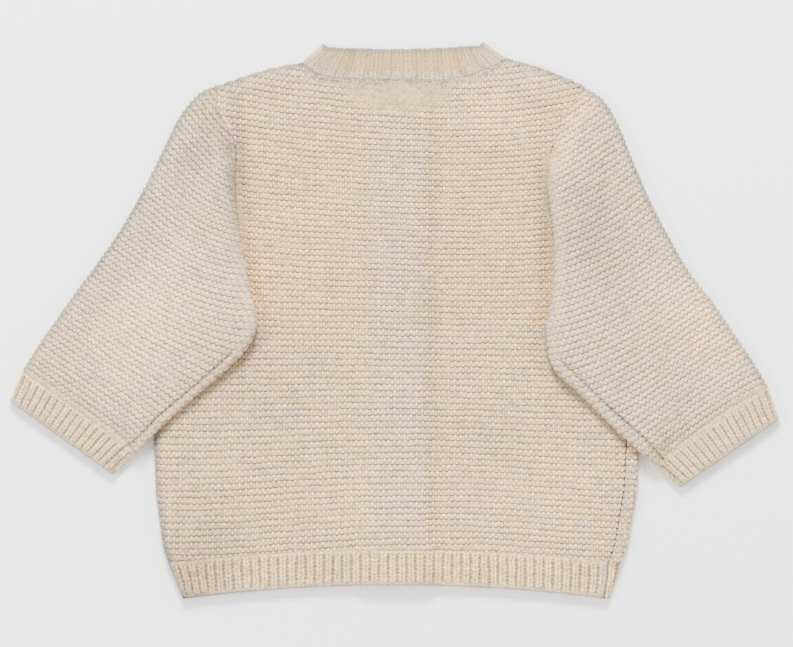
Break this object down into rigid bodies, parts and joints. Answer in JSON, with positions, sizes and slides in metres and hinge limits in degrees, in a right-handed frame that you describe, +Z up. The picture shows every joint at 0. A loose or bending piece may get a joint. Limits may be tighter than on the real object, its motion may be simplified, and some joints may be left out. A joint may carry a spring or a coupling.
{
  "type": "baby cardigan",
  "caption": "Small long-sleeved garter-stitch knit cardigan laid flat with its back up, with ribbed neckband, cuffs, hem and buttoned front bands, sleeves folded down over the body.",
  "frame": {"origin": "middle of the garment's footprint, on the surface it lies on", "axes": "+Z up out of the surface, through the back of the garment; +Y towards the neck; +X towards the wearer's right sleeve, which lies on the right seen from above"},
  "size_m": [0.4617, 0.3341, 0.0129],
  "materials": {
    "garter_knit": "matte cream wool and cotton yarn in garter stitch, softly uneven in colour",
    "rib_knit": "the same matte cream yarn in narrow ribs",
    "button": "smooth cream with a faint grain"
  },
  "bodies": {
    "root": {"back": "garter_knit", "front_left": "garter_knit", "front_right": "garter_knit", "sleeve_left": "garter_knit", "sleeve_right": "garter_knit", "neckband": "rib_knit", "hem_back": "rib_knit", "hem_front_left": "rib_knit", "hem_front_right": "rib_knit", "cuff_left": "rib_knit", "cuff_right": "rib_knit", "band_left": "rib_knit", "band_right": "rib_knit", "button_1": "button", "button_2": "button", "button_3": "button", "button_4": "button", "button_5": "button"}
  },
  "joints": []
}
